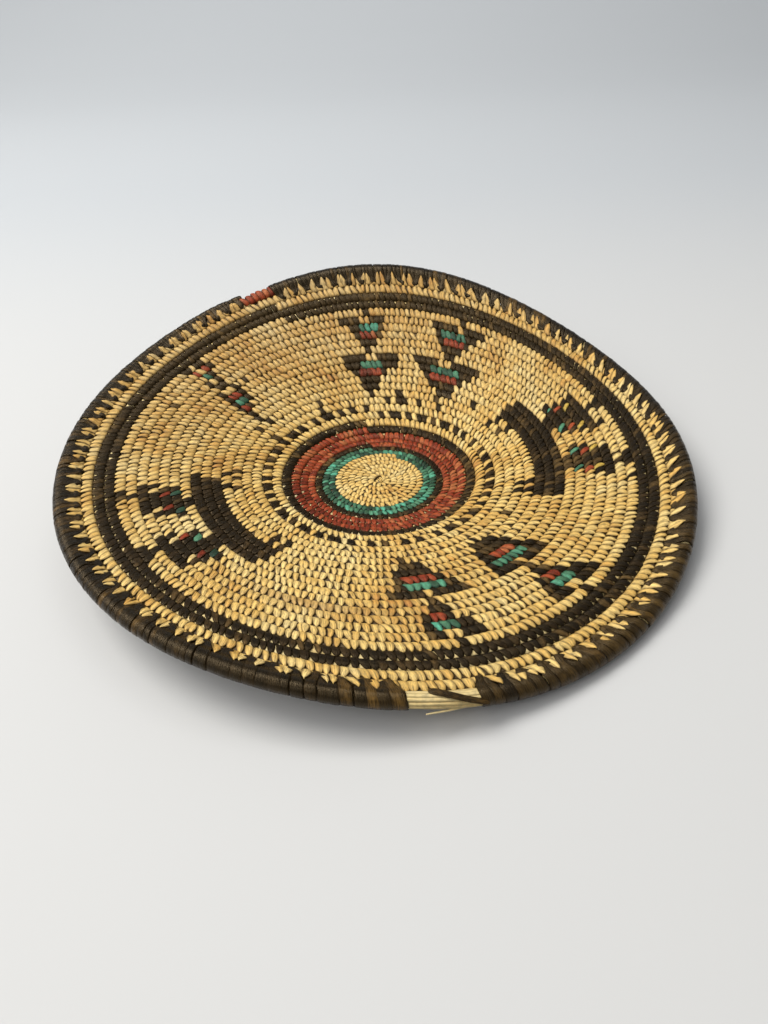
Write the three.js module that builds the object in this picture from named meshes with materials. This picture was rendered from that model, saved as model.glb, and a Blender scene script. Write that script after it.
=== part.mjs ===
// A shallow coiled winnowing tray, slightly warped, lying on its flat base.
// One bundle of stems spirals clockwise outward from a knot in the middle, and
// each turn is sewn to the last one. Millimetres, +Z up, origin at the middle
// of the base, on the surface that the tray rests on.
import * as THREE from 'three';

// The spiral. A turn coordinate counts turns from the middle, and its whole
// numbers lie at the back (+Y). The coil gets thicker between two turns.
const SPIRAL_START_RADIUS = 1.2;
const PITCH_CENTRE = 4.3;
const PITCH_FIELD = 6.2;
const TURN_THICKER_FROM = 8;
const TURN_THICKER_TO = 14;

// The coil's cross-section, as a share of the pitch, and the gaps between pieces.
const COIL_HEIGHT_SHARE = 0.9;
const COIL_FLAT_SHARE = 0.55;
const SIDE_GAP = 0.4;
const END_GAP = 0.4;

// The dish: a flat base, then a wall that rises almost straight to the rim.
const DISH_RADIUS = 200;
const BASE_RADIUS = 50;
const WALL_RISE = 36.5;
const WALL_CURVE = 0.92;
const LEAN_RIGHT = -11.5;
const LEAN_BACK = 28.5;
const LEAN_CURVE = 1.5;
const SADDLE = [-8.6, 4.1];
const WAVE_3 = [3.3, -2.7];
const WAVE_4 = [2.5, -1.7];

// The turn coordinates where the outer rings start and end.
const TURN_DARK = 28.93;
const TURN_RED_PATCH = 32.912;
const TURN_RIM = 32.93;
const TURN_RIM_END = 33.91;
const TURN_BARE_FROM = 33.47;
const TURN_BARE_TO = 33.5;

// The rim: a thick bundle of stems in a sleeve of dark wrapping.
const RIM_WIDTH = 8.6;
const RIM_HEIGHT = 8.0;
const WRAP_THICKNESS = 0.9;
const RIM_END_TAPER = 0.72;

const STEPS_CENTRE = 24;
const STEPS_OUTER = 30;
const TURN_FINE_STEPS = 8;

const STRAW = 0xd0ac6c;
const STRAW_BARE = 0xdcc692;
const DARK = 0x2c2118;
const DARK_RIM = 0x3c2d1a;
const RED = 0xa8452d;
const TEAL = 0x3f8d72;

// Radius of the coil's inner edge at a turn coordinate.
function edgeRadius(turn) {
  const growth = (PITCH_FIELD - PITCH_CENTRE) / (TURN_THICKER_TO - TURN_THICKER_FROM);
  const thin = Math.min(turn, TURN_THICKER_FROM);
  const rising = THREE.MathUtils.clamp(turn - TURN_THICKER_FROM, 0, TURN_THICKER_TO - TURN_THICKER_FROM);
  const full = Math.max(turn - TURN_THICKER_TO, 0);
  return SPIRAL_START_RADIUS + PITCH_CENTRE * (thin + rising)
    + growth * rising * rising / 2 + PITCH_FIELD * full;
}

// Angle from the +X axis. The turns run clockwise from the back, seen from above.
function turnAngle(turn) {
  return Math.PI / 2 - turn * Math.PI * 2;
}

// How far the wall has risen above the flat base.
function wallLift(radius, angle) {
  const share = Math.max(radius / DISH_RADIUS - BASE_RADIUS / DISH_RADIUS, 0) / (1 - BASE_RADIUS / DISH_RADIUS);
  const wave = (weights, count) => weights[0] * Math.cos(count * angle) + weights[1] * Math.sin(count * angle);
  const lift = WALL_RISE * share ** WALL_CURVE
    + wave([LEAN_RIGHT, LEAN_BACK], 1) * share ** LEAN_CURVE
    + wave(SADDLE, 2) * share ** 2
    + (wave(WAVE_3, 3) + wave(WAVE_4, 4)) * share ** 4;
  return Math.max(lift, 0);
}

// A point of the coil's surface. across runs outward along the wall and up
// runs square to the wall, both from the middle of the coil's section.
function coilPoint(turn, middleRadius, middleHeight, across, up) {
  const angle = turnAngle(turn);
  const slope = Math.atan((wallLift(middleRadius + 1, angle) - wallLift(middleRadius - 1, angle)) / 2);
  const radius = middleRadius + across - up * Math.sin(slope);
  const height = middleHeight + wallLift(middleRadius, angle)
    + across * Math.tan(slope) + up * (Math.cos(slope) - 1) + up;
  return new THREE.Vector3(radius * Math.cos(angle), radius * Math.sin(angle), height);
}

// The turn coordinates of a sweep's cross-sections, at the same angles on every turn.
function sweepTurns(from, to) {
  const steps = from < TURN_FINE_STEPS ? STEPS_CENTRE : STEPS_OUTER;
  const turns = [from];
  for (let k = Math.ceil(from * steps + 0.2); k < to * steps - 0.2; k += 1) {
    turns.push(k / steps);
  }
  turns.push(to);
  return turns;
}

// A closed solid through rings of points that all have the same count.
function solidThroughRings(rings) {
  const count = rings[0].length;
  const positions = rings.flat().flatMap((p) => [p.x, p.y, p.z]);
  const index = [];
  for (let r = 0; r + 1 < rings.length; r += 1) {
    for (let k = 0; k < count; k += 1) {
      const a = r * count + k;
      const b = r * count + (k + 1) % count;
      index.push(a, b, a + count, b, b + count, a + count);
    }
  }
  const last = (rings.length - 1) * count;
  for (let k = 1; k + 1 < count; k += 1) {
    index.push(0, k + 1, k);
    index.push(last, last + k, last + k + 1);
  }
  const geometry = new THREE.BufferGeometry();
  geometry.setAttribute('position', new THREE.Float32BufferAttribute(positions, 3));
  geometry.setIndex(index);
  geometry.computeVertexNormals();
  return geometry;
}

// A closed sleeve between outer and inner rings of points, open at both ends.
function sleeveThroughRings(outer, inner) {
  const count = outer[0].length;
  const rows = outer.length;
  const positions = [...outer.flat(), ...inner.flat()].flatMap((p) => [p.x, p.y, p.z]);
  const index = [];
  const inside = rows * count;
  for (let r = 0; r + 1 < rows; r += 1) {
    for (let k = 0; k < count; k += 1) {
      const a = r * count + k;
      const b = r * count + (k + 1) % count;
      index.push(a, b, a + count, b, b + count, a + count);
      index.push(inside + a, inside + a + count, inside + b);
      index.push(inside + b, inside + a + count, inside + b + count);
    }
  }
  for (let k = 0; k < count; k += 1) {
    const next = (k + 1) % count;
    index.push(k, inside + k, next, next, inside + k, inside + next);
    const a = (rows - 1) * count + k;
    const b = (rows - 1) * count + next;
    index.push(a, b, inside + a, b, inside + b, inside + a);
  }
  const geometry = new THREE.BufferGeometry();
  geometry.setAttribute('position', new THREE.Float32BufferAttribute(positions, 3));
  geometry.setIndex(index);
  geometry.computeVertexNormals();
  return geometry;
}

// The six-sided section of a sewn coil, flat above and below.
function coilSection(halfWidth, halfHeight) {
  const flat = halfWidth * COIL_FLAT_SHARE;
  return [
    [-halfWidth, 0], [-flat, -halfHeight], [flat, -halfHeight],
    [halfWidth, 0], [flat, halfHeight], [-flat, halfHeight],
  ];
}

// One stretch of sewn coil between two turn coordinates.
function coilGeometry(from, to) {
  const rings = sweepTurns(from, to - END_GAP / (2 * Math.PI * edgeRadius(to))).map((turn) => {
    const pitch = edgeRadius(turn + 1) - edgeRadius(turn);
    const halfHeight = pitch * COIL_HEIGHT_SHARE / 2;
    const section = coilSection((pitch - SIDE_GAP) / 2, halfHeight);
    return section.map(([x, y]) => coilPoint(turn, edgeRadius(turn) + pitch / 2, halfHeight, x, y));
  });
  return solidThroughRings(rings);
}

// The knot that the spiral starts from: a flat comma that fills the first turn.
function knotGeometry() {
  const height = PITCH_CENTRE * COIL_HEIGHT_SHARE;
  const levels = [[height, 0.8], [height / 2, 1], [0, 0.8]];
  const turns = sweepTurns(1, 2);
  const rings = levels.map(([z, share]) => turns.map((turn) => {
    const radius = (edgeRadius(turn) - SIDE_GAP) * share;
    const end = turn === 2 ? END_GAP / edgeRadius(2) : 0;
    const angle = turnAngle(turn) + end;
    return new THREE.Vector3(radius * Math.cos(angle), radius * Math.sin(angle), z);
  }));
  return solidThroughRings(rings);
}

// An eight-sided section for the rim.
function rimSection(halfWidth, halfHeight) {
  const section = [];
  for (let k = 0; k < 8; k += 1) {
    const angle = (k + 0.5) * Math.PI / 4;
    section.push([halfWidth * Math.cos(angle), halfHeight * Math.sin(angle)]);
  }
  return section;
}

// How much of its full thickness the rim has: it tapers off in its last part.
function rimFullness(turn) {
  return 1 - (1 - RIM_END_TAPER) * THREE.MathUtils.smoothstep(turn, TURN_RIM_END - 0.25, TURN_RIM_END);
}

// The rings of points around the rim's bundle, drawn in by an inset.
function rimRings(turns, inset) {
  return turns.map((turn) => {
    const halfWidth = RIM_WIDTH / 2 * rimFullness(turn);
    const halfHeight = RIM_HEIGHT / 2 * rimFullness(turn);
    const middle = edgeRadius(turn) + halfWidth;
    return rimSection(halfWidth - inset, halfHeight - inset)
      .map(([x, y]) => coilPoint(turn, middle, RIM_HEIGHT / 2, x, y));
  });
}

// The bundle of stems inside the rim, bare where the wrapping is lost.
function rimStemsGeometry() {
  const turns = [...sweepTurns(TURN_RIM, TURN_BARE_FROM), ...sweepTurns(TURN_BARE_TO, TURN_RIM_END)];
  return solidThroughRings(rimRings(turns, WRAP_THICKNESS + SIDE_GAP));
}

// A stretch of the rim's dark wrapping.
function rimWrapGeometry(from, to) {
  const turns = sweepTurns(from, to);
  return sleeveThroughRings(rimRings(turns, SIDE_GAP / 2), rimRings(turns, WRAP_THICKNESS));
}

// A thin flat or round strand through hand-placed points: turn, outward, up.
function strandGeometry(points, halfWidth, halfThickness) {
  const curve = new THREE.CatmullRomCurve3(points.map(([turn, across, up]) => (
    coilPoint(turn, edgeRadius(turn) + RIM_WIDTH / 2, RIM_HEIGHT / 2, across, up)
  )));
  const shape = new THREE.Shape();
  shape.moveTo(-halfThickness, -halfWidth * 0.6);
  shape.lineTo(0, -halfWidth);
  shape.lineTo(halfThickness, -halfWidth * 0.6);
  shape.lineTo(halfThickness, halfWidth * 0.6);
  shape.lineTo(0, halfWidth);
  shape.lineTo(-halfThickness, halfWidth * 0.6);
  shape.closePath();
  return new THREE.ExtrudeGeometry(shape, { steps: 10, bevelEnabled: false, extrudePath: curve });
}

const tray = new THREE.Group();

function addPiece(name, geometry, color, roughness) {
  const mesh = new THREE.Mesh(geometry, new THREE.MeshStandardMaterial({ color, roughness, metalness: 0 }));
  mesh.name = name;
  tray.add(mesh);
}

// Turns of one kind: each whole turn is its own piece, named by its number.
function addTurns(kind, from, to, color) {
  for (let start = from; start < to - 0.5; start += 1) {
    const number = String(Math.ceil(start + 0.5)).padStart(2, '0');
    addPiece(`${kind}_turn_${number}`, coilGeometry(start, Math.min(start + 1, to)), color, 0.75);
  }
}

addPiece('centre_knot', knotGeometry(), STRAW, 0.75);
addTurns('centre', 1, 6, STRAW);
addTurns('teal', 6, 8, TEAL);
addTurns('inner_black', 8, 9, DARK);
addTurns('red', 9, 12, RED);
addTurns('outer_black', 12, 13, DARK);
addTurns('inner_straw', 13, 14, STRAW);
addTurns('dashed', 14, 15, STRAW);
addTurns('field', 15, TURN_DARK, STRAW);
addTurns('dark_band', TURN_DARK, TURN_DARK + 2, DARK);
addTurns('outer_straw', TURN_DARK + 2, TURN_DARK + 3, STRAW);
addPiece('toothed_turn_33', coilGeometry(TURN_DARK + 3, TURN_RED_PATCH), STRAW, 0.75);
addPiece('red_wrapped_stub', coilGeometry(TURN_RED_PATCH, TURN_RIM), RED, 0.6);
addPiece('rim_stems', rimStemsGeometry(), STRAW_BARE, 0.65);
addPiece('rim_wrap_right', rimWrapGeometry(TURN_RIM, TURN_BARE_FROM), DARK_RIM, 0.45);
addPiece('rim_wrap_left', rimWrapGeometry(TURN_BARE_TO, TURN_RIM_END), DARK_RIM, 0.45);

// A splint that has come loose, lying slantwise over the right end of the bare stems.
const looseSplint = [
  [TURN_BARE_TO - 0.012, -2.2, 4.4], [TURN_BARE_TO - 0.018, 0.6, 4.7],
  [TURN_BARE_FROM + 0.005, 3.6, 4.0], [TURN_BARE_FROM - 0.002, 5.6, 3.0],
];
addPiece('loose_splint', strandGeometry(looseSplint, 1.2, 0.3), DARK, 0.5);

// A stem that has sprung out of the bundle, below its outer edge.
const looseStem = [
  [TURN_BARE_FROM + 0.01, 4.6, -1.2], [TURN_BARE_FROM + 0.016, 4.9, -1.8], [TURN_BARE_TO - 0.005, 6.6, -2.8],
];
addPiece('loose_stem', strandGeometry(looseStem, 0.6, 0.5), STRAW_BARE, 0.65);

export default tray;
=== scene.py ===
"""A coiled winnowing tray of sewn straw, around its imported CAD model.

Every stitch is its own closed loop of splint around the coil. Lengths are in
millimetres until a mesh is made, and turn coordinates count turns of the
spiral clockwise from the back (+Y), as in the CAD source.
"""
import bisect
import math

import bpy
import numpy as np
from mathutils import Matrix, Vector


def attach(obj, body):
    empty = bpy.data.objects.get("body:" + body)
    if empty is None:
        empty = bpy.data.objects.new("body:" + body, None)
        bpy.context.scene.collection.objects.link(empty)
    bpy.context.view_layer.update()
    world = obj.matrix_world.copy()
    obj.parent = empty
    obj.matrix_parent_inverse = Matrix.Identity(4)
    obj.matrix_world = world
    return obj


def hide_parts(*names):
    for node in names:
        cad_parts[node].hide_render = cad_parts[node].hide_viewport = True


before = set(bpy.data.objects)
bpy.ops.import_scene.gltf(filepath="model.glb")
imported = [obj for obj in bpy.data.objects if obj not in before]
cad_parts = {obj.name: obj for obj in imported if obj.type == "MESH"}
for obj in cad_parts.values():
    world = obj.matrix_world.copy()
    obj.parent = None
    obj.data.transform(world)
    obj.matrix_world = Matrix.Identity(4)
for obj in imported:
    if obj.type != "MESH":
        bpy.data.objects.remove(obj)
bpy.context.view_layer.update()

MM = 0.001
RANDOM = np.random.default_rng(28)

# The spiral and the dish, with the dimensions of the CAD source.
SPIRAL_START_RADIUS = 1.2
PITCH_CENTRE = 4.3
PITCH_FIELD = 6.2
TURN_THICKER_FROM = 8
TURN_THICKER_TO = 14
COIL_CENTRE_SHARE = 0.45
DISH_RADIUS = 200.0
BASE_RADIUS = 50.0
WALL_RISE = 36.5
WALL_CURVE = 0.92
LEAN_RIGHT = -11.5
LEAN_BACK = 28.5
LEAN_CURVE = 1.5
SADDLE = (-8.6, 4.1)
WAVE_3 = (3.3, -2.7)
WAVE_4 = (2.5, -1.7)

# Where the rings of colour start and end.
TURN_TEAL = 6.06
TURN_INNER_BLACK = 7.98
TURN_RED = 8.98
TURN_OUTER_BLACK = 11.98
TURN_INNER_STRAW = 12.98
TURN_DASHED = 14.0
TURN_FIELD = 15.0
TURN_DARK = 28.93
TURN_OUTER_STRAW = 30.93
TURN_TOOTHED = 31.93
TURN_STUB = 32.912
TURN_RIM = 32.93
TURN_RIM_END = 33.91
TURN_BARE_FROM = 33.466
TURN_BARE_TO = 33.495

# The rim's bundle.
RIM_WIDTH = 8.6
RIM_HEIGHT = 8.0
RIM_END_TAPER = 0.72
RIM_TIP = 0.03
RIM_TIP_TAPER = 0.3
RIM_TAPER_LENGTH = 0.25
RIM_GROUPS_PER_TURN = 106
TOOTH_SHARE = 0.62

# The first splints in the middle of the tray.
START_LENGTH = 7.5
START_HALF = 2.6
START_UP = 3.0
START_RISE = 1.5
START_THICKNESS = 0.3
START_DIRECTION = 35.0
START_SPLINTS = 8
START_STATIONS = 16
START_WIDTH_SHARE = 0.62

# Stitch spacing along the coil, from the middle of the tray outward.
SPACING_CENTRE = 2.6
SPACING_GROWTH = 1.45
SPACING_REACH = 60.0
SPACING_JITTER = 0.07
UNEVEN_CENTRE = 2.0
UNEVEN_REACH = 14.0
FOLLOW_ROW_BEFORE = 0.3
PULL_ON_CREST = 0.3
PULL_FULL_RADIUS = 70.0

# The row of dashes between the rings and the field.
DASHES_PER_TURN = 45
DASH_SHARE = 0.55

# Compass of the stitches' slant: clockwise angle from the back, slant in degrees.
SLANT_AT = (
    (0, 12), (40, 23), (80, 32), (100, 30), (125, 18), (160, 13), (190, 14),
    (225, 20), (255, 19), (285, 9), (315, 8), (340, 11), (360, 12),
)


def edge_radius(turn):
    """Radius of the coil's inner edge."""
    turn = np.asarray(turn, float)
    growth = (PITCH_FIELD - PITCH_CENTRE) / (TURN_THICKER_TO - TURN_THICKER_FROM)
    thin = np.minimum(turn, TURN_THICKER_FROM)
    rising = np.clip(turn - TURN_THICKER_FROM, 0, TURN_THICKER_TO - TURN_THICKER_FROM)
    full = np.maximum(turn - TURN_THICKER_TO, 0)
    return (
        SPIRAL_START_RADIUS
        + PITCH_CENTRE * (thin + rising)
        + growth * rising**2 / 2
        + PITCH_FIELD * full
    )


def coil_pitch(turn):
    return edge_radius(np.asarray(turn, float) + 1) - edge_radius(turn)


def wall_lift(radius, angle):
    """How far the wall has risen above the flat base."""
    share = np.maximum(radius - BASE_RADIUS, 0) / (DISH_RADIUS - BASE_RADIUS)
    lift = WALL_RISE * share**WALL_CURVE
    lift += (LEAN_RIGHT * np.cos(angle) + LEAN_BACK * np.sin(angle)) * share**LEAN_CURVE
    lift += (SADDLE[0] * np.cos(2 * angle) + SADDLE[1] * np.sin(2 * angle)) * share**2
    waves = WAVE_3[0] * np.cos(3 * angle) + WAVE_3[1] * np.sin(3 * angle)
    waves += WAVE_4[0] * np.cos(4 * angle) + WAVE_4[1] * np.sin(4 * angle)
    lift += waves * share**4
    return np.maximum(lift, 0)


def coil_point(turn, middle_radius, middle_height, across, up):
    """Points across and up from the middle of the coil's section, as an (..., 3) array."""
    turn, middle_radius, across, up = np.broadcast_arrays(turn, middle_radius, across, up)
    angle = math.pi / 2 - turn * 2 * math.pi
    rise = wall_lift(middle_radius + 1, angle) - wall_lift(np.maximum(middle_radius - 1, 0), angle)
    slope = np.arctan(rise / 2)
    radius = middle_radius + across - up * np.sin(slope)
    height = (
        middle_height
        + wall_lift(middle_radius, angle)
        + across * np.tan(slope)
        + up * np.cos(slope)
    )
    return np.stack([radius * np.cos(angle), radius * np.sin(angle), height], -1)


def on_coil(turn, across, up):
    """A point of the sewn coil at a turn coordinate."""
    pitch = coil_pitch(turn)
    return coil_point(turn, edge_radius(turn) + pitch / 2, COIL_CENTRE_SHARE * pitch, across, up)


def rim_fullness(turn):
    """How much of its thickness the rim has: less in its last quarter turn, and least at the very end."""
    before_end = np.asarray(turn, float) - TURN_RIM_END
    share = np.clip((before_end + RIM_TAPER_LENGTH) / RIM_TAPER_LENGTH, 0, 1)
    tip = np.clip((before_end + RIM_TIP) / RIM_TIP, 0, 1)
    return (1 - (1 - RIM_END_TAPER) * share * share * (3 - 2 * share)) * (1 - RIM_TIP_TAPER * tip * tip)


def on_rim(turn, across, up):
    """A point of the rim at a turn coordinate, from the middle of its bundle."""
    full = rim_fullness(turn)
    middle = edge_radius(turn) + RIM_WIDTH / 2 * full
    return coil_point(turn, middle, RIM_HEIGHT / 2, across, up)


def slant_tangent(turn):
    degrees = np.interp((np.asarray(turn) % 1) * 360, [a for a, _ in SLANT_AT], [s for _, s in SLANT_AT])
    return np.tan(np.radians(degrees))


# ---- meshes


def build_mesh(name, points, quads, caps, splint, stain_and_shade, material, slot, nodes):
    """A smooth piece. Its material reads splint (across, along, random) and a second vector of stain, edge
    share and crevice depth; the last two are painted shade.
    """
    points = np.reshape(points, (-1, 3))
    mesh = bpy.data.meshes.new(name)
    quads = np.asarray(quads, np.int32).reshape(-1, 4)
    corners = [quads.ravel()] + [np.asarray(c, np.int32) for c in caps]
    totals = np.concatenate([np.full(len(quads), 4), [len(c) for c in caps]]).astype(np.int32)
    corners = np.concatenate(corners).astype(np.int32)
    mesh.vertices.add(len(points))
    mesh.vertices.foreach_set("co", (points * MM).astype(np.float32).ravel())
    mesh.loops.add(len(corners))
    mesh.loops.foreach_set("vertex_index", corners)
    mesh.polygons.add(len(totals))
    mesh.polygons.foreach_set("loop_start", (np.cumsum(totals) - totals).astype(np.int32))
    mesh.polygons.foreach_set("loop_total", totals)
    mesh.polygons.foreach_set("use_smooth", np.ones(len(totals), bool))
    for label, values in (("splint", splint), ("stain_and_shade", stain_and_shade)):
        attribute = mesh.attributes.new(label, "FLOAT_VECTOR", "POINT")
        attribute.data.foreach_set("vector", np.asarray(values, np.float32).ravel())
    mesh.update(calc_edges=True)
    mesh.validate()
    piece = bpy.data.objects.new(name, mesh)
    bpy.context.scene.collection.objects.link(piece)
    mesh.materials.append(material)
    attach(piece, "root")
    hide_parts(*nodes)
    return piece


def grid_quads(count, rows, columns, rows_close, columns_close):
    """Quads of many equal grids of points, each grid closed or open along each way."""
    row_steps = rows if rows_close else rows - 1
    column_steps = columns if columns_close else columns - 1
    r = np.arange(row_steps)[:, None]
    c = np.arange(column_steps)[None, :]
    r_next = (r + 1) % rows
    c_next = (c + 1) % columns
    row = r * columns
    row_next = r_next * columns
    one = np.stack([row + c, row + c_next, row_next + c_next, row_next + c], -1)
    offsets = np.arange(count)[:, None, None] * rows * columns
    return (one.reshape(1, -1, 4) + offsets).reshape(-1, 4)


# The splint's own section, a dome above and a shallow keel below, in shares of its half width and thickness.
SECTION_SIDE = np.array([-1.0, -0.70, 0.0, 0.70, 1.0, 0.0])
SECTION_RISE = np.array([0.0, 0.78, 1.0, 0.78, 0.0, -0.45])


def stack_like(shaped, *values):
    """The values as one more axis, each spread to the same shape."""
    return np.stack([np.broadcast_to(v, shaped.shape) for v in values], -1)


def loop_frames(across, up):
    """Unit outward normals of closed paths in the section plane, and the length along them."""
    step_a = np.roll(across, -1, -1) - np.roll(across, 1, -1)
    step_u = np.roll(up, -1, -1) - np.roll(up, 1, -1)
    size = np.hypot(step_a, step_u) + 1e-9
    lengths = np.hypot(np.diff(across, axis=-1), np.diff(up, axis=-1))
    along = np.concatenate([np.zeros(across.shape[:-1] + (1,)), np.cumsum(lengths, -1)], -1)
    return -step_u / size, step_a / size, along


def splint_loops(name, turns, path, half_width, thickness, depth, place, stain, sewn_with, nodes):
    """Closed loops of splint. path is across, up and tangential shift, each (loops, stations), in mm.

    depth says how far each station of the path lies in a crevice, from 0 to 1; the material paints shade
    there.
    """
    across, up, shift = path
    count, stations = across.shape
    normal_a, normal_u, along = loop_frames(across, up)
    rise = thickness[..., None] * SECTION_RISE
    a = across[..., None] + normal_a[..., None] * rise
    u = up[..., None] + normal_u[..., None] * rise
    side = half_width[..., None] * SECTION_SIDE
    radius = edge_radius(turns)[:, None, None] + coil_pitch(turns)[:, None, None] / 2
    turn = turns[:, None, None] + (shift[..., None] + side) / (2 * math.pi * radius)
    chance = RANDOM.random(count)
    splint = stack_like(a, side, along[..., None], chance[:, None, None])
    crevice = np.broadcast_to(depth, across.shape)[..., None]
    # The first value is stain; the edge share and crevice depth are painted shade along the edges and in
    # crevices.
    stain_and_shade = stack_like(a, stain[:, None, None], np.abs(SECTION_SIDE), crevice)
    quads = grid_quads(count, stations, len(SECTION_SIDE), True, True)
    return build_mesh(name, place(turn, a, u), quads[:, ::-1], [], splint, stain_and_shade, *sewn_with, nodes)


# A stitch's way round the coil, as shares of the pitch: across, up and width. It comes up
# beneath the row before and ends in a point that lies over the foot of the next row.
STITCH_PATH = np.array([
    (-0.55, -0.06, 0.45),
    (-0.545, 0.08, 0.66),
    (-0.52, 0.20, 0.86),
    (-0.48, 0.30, 0.98),
    (-0.41, 0.385, 1.00),
    (-0.31, 0.435, 1.00),
    (-0.18, 0.465, 1.00),
    (-0.03, 0.476, 0.98),
    (0.12, 0.47, 0.94),
    (0.25, 0.455, 0.84),
    (0.36, 0.425, 0.72),
    (0.46, 0.39, 0.50),
    (0.555, 0.35, 0.17),
    (0.565, 0.16, 0.08),
    (0.50, -0.12, 0.22),
    (0.36, -0.31, 0.55),
    (0.10, -0.385, 0.92),
    (-0.25, -0.385, 1.00),
    (-0.46, -0.33, 0.85),
    (-0.55, -0.20, 0.50),
])
STITCH_THICKNESS = 0.40
STITCH_WIDTH = 1.16
STITCH_TIP_THICKNESS = 0.45
STITCH_TOP_FROM = 0.3
FIRST_STITCH = 0.08
HOLE_ACROSS = -0.55
TIP_ACROSS = 0.5
FOOT_SHADE_TOP = 0.46
FOOT_SHADE_DEPTH = 0.17
TIP_SHADE_TOP = 0.33

# How much the stitches differ: standard deviations of the reach, the path and its rise, the
# slant, the places of the tip and the hole, and the width, thickness and edges of the splint.
REACH_VARIES = 0.045
PATH_VARIES = 0.012
RISE_VARIES = 0.018
SLANT_VARIES = 0.09
TIP_VARIES = 0.11
HOLE_VARIES = 0.04
WIDTH_VARIES = 0.13
THICKNESS_VARIES = 0.15
EDGE_VARIES = 0.05

# The bundle of stems: half its section in shares of the pitch, its corners and its lumps.
BUNDLE_HALF = (0.47, 0.385)
FULL_BUNDLE_HALF = (0.48, 0.40)
BUNDLE_SQUARENESS = 0.65
BUNDLE_SIDES = 14
BUNDLE_STEPS_PER_TURN = 110
BUNDLE_LUMPS = 0.035
BUNDLE_RADIUS = 2.6
BUNDLE_MIDDLE = 3.0
# How dark the bundle is painted under natural stitches, as the shade in the gaps between them.
STEM_GAP_SHADE = 0.9

# The way of a toothed stitch that reaches out between two groups of the rim's splints.
TOOTH_TIP_ACROSS = 0.78
TOOTH_PATH = STITCH_PATH.copy()
TOOTH_PATH[6:14] = [
    (-0.16, 0.485, 1.00),
    (-0.02, 0.56, 0.98),
    (0.12, 0.63, 0.93),
    (0.27, 0.68, 0.85),
    (0.43, 0.73, 0.71),
    (0.59, 0.79, 0.49),
    (TOOTH_TIP_ACROSS, 0.85, 0.14),
    (0.76, 0.62, 0.10),
]
TOOTH_GATHER = 0.45
RIM_MIDDLE_UP = 0.195


def stitch_spacing(radius):
    return SPACING_CENTRE + SPACING_GROWTH * (1 - np.exp(-radius / SPACING_REACH))


def lay_stitches():
    """Every stitch's turn coordinate, and how far its hole is pulled to a gap in the row before, in turns."""
    turns, pulls, tips = [], [], []
    base = FIRST_STITCH
    while base < TURN_STUB:
        pitch = float(coil_pitch(base))
        radius = float(edge_radius(base)) + pitch / 2
        lean = float(slant_tangent(base)) * pitch / (2 * math.pi * radius)
        hole = base - HOLE_ACROSS * lean
        pull = 0.0
        after = bisect.bisect(tips, hole - 1)
        if 0 < after < len(tips):
            pull = ((tips[after - 1] + tips[after]) / 2 + 1 - hole) * min(radius / PULL_FULL_RADIUS, 1)
        turns.append(base + PULL_ON_CREST * pull)
        pulls.append(pull * (1 - PULL_ON_CREST))
        tips.append(turns[-1] - TIP_ACROSS * lean)
        jitter = SPACING_JITTER * (1 + UNEVEN_CENTRE * math.exp(-radius / UNEVEN_REACH))
        base += float(stitch_spacing(radius)) * (1 + RANDOM.normal(0, jitter)) / (2 * math.pi * radius)
        base += FOLLOW_ROW_BEFORE * pull
    return np.array(turns), np.array(pulls)


def stitch_loops(name, turns, gaps, pulls, stain, sewn_with, nodes, paths=STITCH_PATH, tip_pulls=0.0):
    """The stitches of one colour. gaps, pulls and tip_pulls are shares of a turn."""
    count = len(turns)
    paths = np.broadcast_to(paths, (count, *STITCH_PATH.shape))
    steps = paths.shape[1]

    def vary(amount, columns=1):
        return RANDOM.normal(0, amount, (count, columns))

    reach_out, rise, broad = paths[..., 0], paths[..., 1], paths[..., 2]
    pitch = coil_pitch(turns)[:, None]
    around = (2 * math.pi) * (edge_radius(turns)[:, None] + pitch / 2)
    spacing = np.maximum(gaps[:, None] * around, stitch_spacing(around / (2 * math.pi)))
    reach = 1 + vary(REACH_VARIES)
    across = reach_out * pitch * reach + vary(PATH_VARIES, steps) * pitch
    up = (rise + np.where(rise > STITCH_TOP_FROM, vary(RISE_VARIES), 0)) * pitch
    uneven = 1 + UNEVEN_CENTRE * np.exp(-around / (2 * math.pi * UNEVEN_REACH))
    slant = slant_tangent(turns)[:, None] + vary(SLANT_VARIES) * uneven
    to_hole = np.clip(reach_out / HOLE_ACROSS, 0, 1)
    to_tip = np.clip(reach_out / TIP_ACROSS, 0, 1)
    to_tooth_tip = np.clip(reach_out / TOOTH_TIP_ACROSS, 0, 1)
    shift = -across * slant + pulls[:, None] * around * to_hole
    shift = shift + np.reshape(tip_pulls, (-1, 1)) * around * to_tooth_tip
    shift = shift + vary(TIP_VARIES) * spacing * to_tip
    shift = shift + vary(HOLE_VARIES) * spacing * to_hole
    width = spacing * (STITCH_WIDTH + vary(WIDTH_VARIES))
    half_width = broad * width / 2 * (1 + vary(EDGE_VARIES, steps))
    thickness = STITCH_THICKNESS * (1 + vary(THICKNESS_VARIES))
    thickness = thickness * (STITCH_TIP_THICKNESS + (1 - STITCH_TIP_THICKNESS) * broad)
    foot = np.clip((FOOT_SHADE_TOP - rise) / FOOT_SHADE_DEPTH, 0, 1)
    tip = np.clip((TIP_SHADE_TOP - rise) / TIP_SHADE_TOP, 0, 1)
    depth = np.where(reach_out < 0, foot, tip)
    path = (across, up, shift)
    return splint_loops(name, turns, path, half_width, thickness, depth, on_coil, stain, sewn_with, nodes)


def ring_caps(steps, sides):
    """The two end faces of a tube with one ring of points at each step."""
    last = (steps - 1) * sides
    return [list(range(sides)), [last + k for k in reversed(range(sides))]]


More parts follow.
